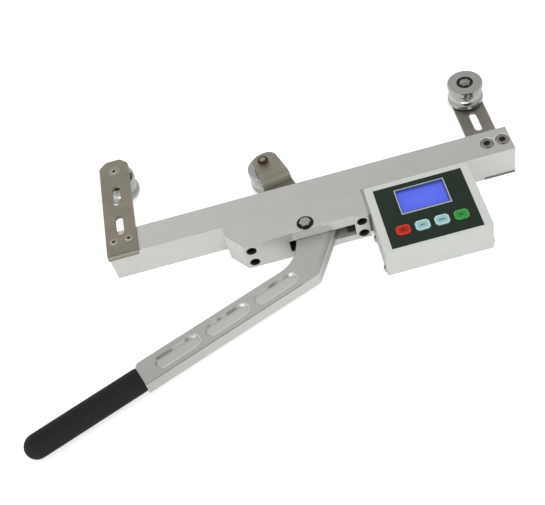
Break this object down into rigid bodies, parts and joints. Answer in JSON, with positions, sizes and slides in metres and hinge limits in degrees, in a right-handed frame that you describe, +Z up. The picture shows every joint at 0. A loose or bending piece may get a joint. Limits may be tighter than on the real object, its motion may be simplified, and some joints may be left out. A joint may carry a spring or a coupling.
{
  "type": "cable tension meter",
  "caption": "Hand-held rope tension meter: straight beam with grooved wheels on slotted brackets, a pivoted hand lever that presses the middle wheel, and a keyed display case.",
  "frame": {"origin": "centre of the beam's lower face, which the meter rests on", "axes": "+X along the beam towards the display end, +Y away from the hand lever towards the wheels, +Z up from the rest face"},
  "size_m": [0.5244, 0.3249, 0.042],
  "materials": {
    "machined_aluminium": "satin, fine milled",
    "lever_aluminium": "satin, fine milled",
    "plated_steel": "nickel plated, lightly brushed",
    "polished_steel": "turned and polished",
    "bearing_steel": "ground",
    "fastener_steel": "zinc plated",
    "dark_screw_steel": "oiled",
    "bronze": "sintered bronze",
    "black_rubber": "matte",
    "grip_sleeve": "matte, soft dipped",
    "case_paint": "pale silver paint",
    "panel_film": "dark printed film",
    "screen_border": "pale grey border",
    "screen_glass": "lit blue display",
    "board_green": "solder mask",
    "black_plastic": "moulded",
    "battery_wrap": "shrink wrap",
    "key_red": "domed key",
    "key_pale": "domed key",
    "key_green": "domed key"
  },
  "bodies": {
    "frame": {"beam": "machined_aluminium", "lever_housing": "machined_aluminium", "housing_screws": "dark_screw_steel", "stop_buffer": "black_rubber", "pivot_pin": "fastener_steel", "pivot_nut": "fastener_steel", "left_bracket": "plated_steel", "left_bracket_screws": "fastener_steel", "right_bracket": "plated_steel", "right_bracket_bolts": "dark_screw_steel", "display_case": "case_paint", "case_cover": "case_paint", "case_side_screws": "fastener_steel", "case_mount_screws": "fastener_steel", "front_panel": "panel_film", "screen_frame": "screen_border", "screen": "screen_glass", "circuit_board": "board_green", "board_pillars": "fastener_steel", "board_screws": "fastener_steel", "key_switches": "black_plastic", "battery": "battery_wrap", "left_inner_rings": "bearing_steel", "left_spacers": "fastener_steel", "left_axle_bolt": "fastener_steel", "left_axle_nut": "fastener_steel", "right_inner_rings": "bearing_steel", "right_spacers": "fastener_steel", "right_axle_bolt": "fastener_steel", "right_axle_nut": "fastener_steel"},
    "lever": {"lever": "lever_aluminium", "grip": "grip_sleeve", "arm": "plated_steel", "arm_screws": "fastener_steel", "pivot_bushes": "bronze", "mid_inner_rings": "bearing_steel", "mid_spacers": "fastener_steel", "mid_axle_bolt": "fastener_steel", "mid_axle_nut": "fastener_steel"},
    "left_wheel": {"left_wheel": "polished_steel", "left_outer_rings": "bearing_steel"},
    "right_wheel": {"right_wheel": "polished_steel", "right_outer_rings": "bearing_steel"},
    "mid_wheel": {"mid_wheel": "polished_steel", "mid_outer_rings": "bearing_steel"},
    "key_red": {"key_red": "key_red"},
    "key_left": {"key_left": "key_pale"},
    "key_right": {"key_right": "key_pale"},
    "key_green": {"key_green": "key_green"}
  },
  "joints": [
    {"name": "lever_pivot", "type": "hinge", "parent": "frame", "child": "lever", "pos_m": [-0.01, -0.0385, 0.017], "axis": [0, 0, 1], "range_deg": [-19.5, 12]},
    {"name": "left_wheel_spin", "type": "hinge", "parent": "frame", "child": "left_wheel", "pos_m": [-0.195, 0.0986, 0.017], "axis": [0, 0, 1], "continuous": true},
    {"name": "right_wheel_spin", "type": "hinge", "parent": "frame", "child": "right_wheel", "pos_m": [0.195, 0.0986, 0.017], "axis": [0, 0, 1], "continuous": true},
    {"name": "mid_wheel_spin", "type": "hinge", "parent": "lever", "child": "mid_wheel", "pos_m": [-0.03555, 0.05563, 0.017], "axis": [0, 0, 1], "continuous": true},
    {"name": "key_red_press", "type": "slide", "parent": "frame", "child": "key_red", "axis": [0, 0, -1], "range_m": [0, 0.0005], "stiffness_N_per_m": 1500},
    {"name": "key_left_press", "type": "slide", "parent": "frame", "child": "key_left", "axis": [0, 0, -1], "range_m": [0, 0.0005], "stiffness_N_per_m": 1500},
    {"name": "key_right_press", "type": "slide", "parent": "frame", "child": "key_right", "axis": [0, 0, -1], "range_m": [0, 0.0005], "stiffness_N_per_m": 1500},
    {"name": "key_green_press", "type": "slide", "parent": "frame", "child": "key_green", "axis": [0, 0, -1], "range_m": [0, 0.0005], "stiffness_N_per_m": 1500}
  ]
}
